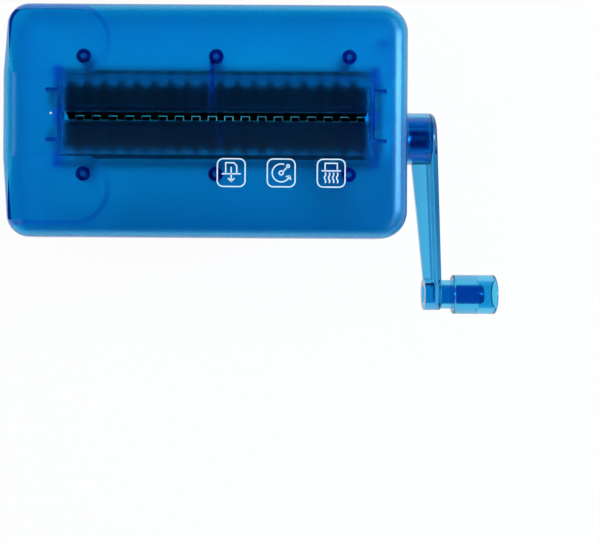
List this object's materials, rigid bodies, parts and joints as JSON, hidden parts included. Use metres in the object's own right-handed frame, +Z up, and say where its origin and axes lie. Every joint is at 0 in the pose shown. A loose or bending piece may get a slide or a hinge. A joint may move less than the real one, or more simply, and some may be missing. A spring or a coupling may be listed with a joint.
{
  "type": "hand-crank paper shredder",
  "caption": "Desktop strip-cut paper shredder: a tinted clear head with geared cutter rollers, turned by a push-on side crank, sits on a waste bin.",
  "frame": {"origin": "on the table, midway along the head and straight below the paper slot", "axes": "+Z up, +X along the rollers towards the crank, -Y towards the person who turns it"},
  "size_m": [0.255, 0.1591, 0.128],
  "materials": {
    "tinted_shell": "tinted clear plastic, polished outside and lightly frosted inside",
    "tinted_crank": "tinted clear plastic, polished",
    "shaft_steel": "oil-dark turned steel",
    "cutter_steel": "blackened hardened steel",
    "black_plastic": "moulded, satin",
    "white_nylon": "moulded, natural",
    "fastener_steel": "zinc-plated"
  },
  "bodies": {
    "bin": {"waste_bin": "tinted_shell"},
    "head": {"top_cover": "tinted_shell", "chassis": "tinted_shell", "cover_screws": "fastener_steel", "front_stripper": "tinted_shell", "rear_stripper": "tinted_shell", "drive_bush_left": "white_nylon", "drive_bush_right": "white_nylon", "driven_bush_left": "white_nylon", "driven_bush_right": "white_nylon"},
    "drive_roller": {"drive_shaft": "shaft_steel", "drive_cutters": "cutter_steel", "drive_spacers": "black_plastic", "drive_gear": "white_nylon", "drive_clips": "fastener_steel"},
    "driven_roller": {"driven_shaft": "shaft_steel", "driven_cutters": "cutter_steel", "driven_spacers": "black_plastic", "driven_gear": "white_nylon", "driven_clips": "fastener_steel"},
    "crank": {"crank_arm": "tinted_crank"},
    "knob": {"crank_knob": "tinted_crank"}
  },
  "joints": [
    {"name": "head_lift", "type": "slide", "parent": "bin", "child": "head", "axis": [0, 0, 1], "range_m": [0, 0.06]},
    {"name": "drive_spin", "type": "hinge", "parent": "head", "child": "drive_roller", "pos_m": [0, -0.01, 0.101], "axis": [1, 0, 0], "continuous": true},
    {"name": "driven_spin", "type": "hinge", "parent": "head", "child": "driven_roller", "pos_m": [0, 0.01, 0.101], "axis": [1, 0, 0], "continuous": true},
    {"name": "crank_pull", "type": "slide", "parent": "drive_roller", "child": "crank", "axis": [1, 0, 0], "range_m": [0, 0.02]},
    {"name": "knob_spin", "type": "hinge", "parent": "crank", "child": "knob", "pos_m": [0.14, -0.091, 0.101], "axis": [1, 0, 0], "continuous": true}
  ],
  "couplings": [
    {"joint": "driven_spin", "follows": "drive_spin", "ratio": -1}
  ]
}
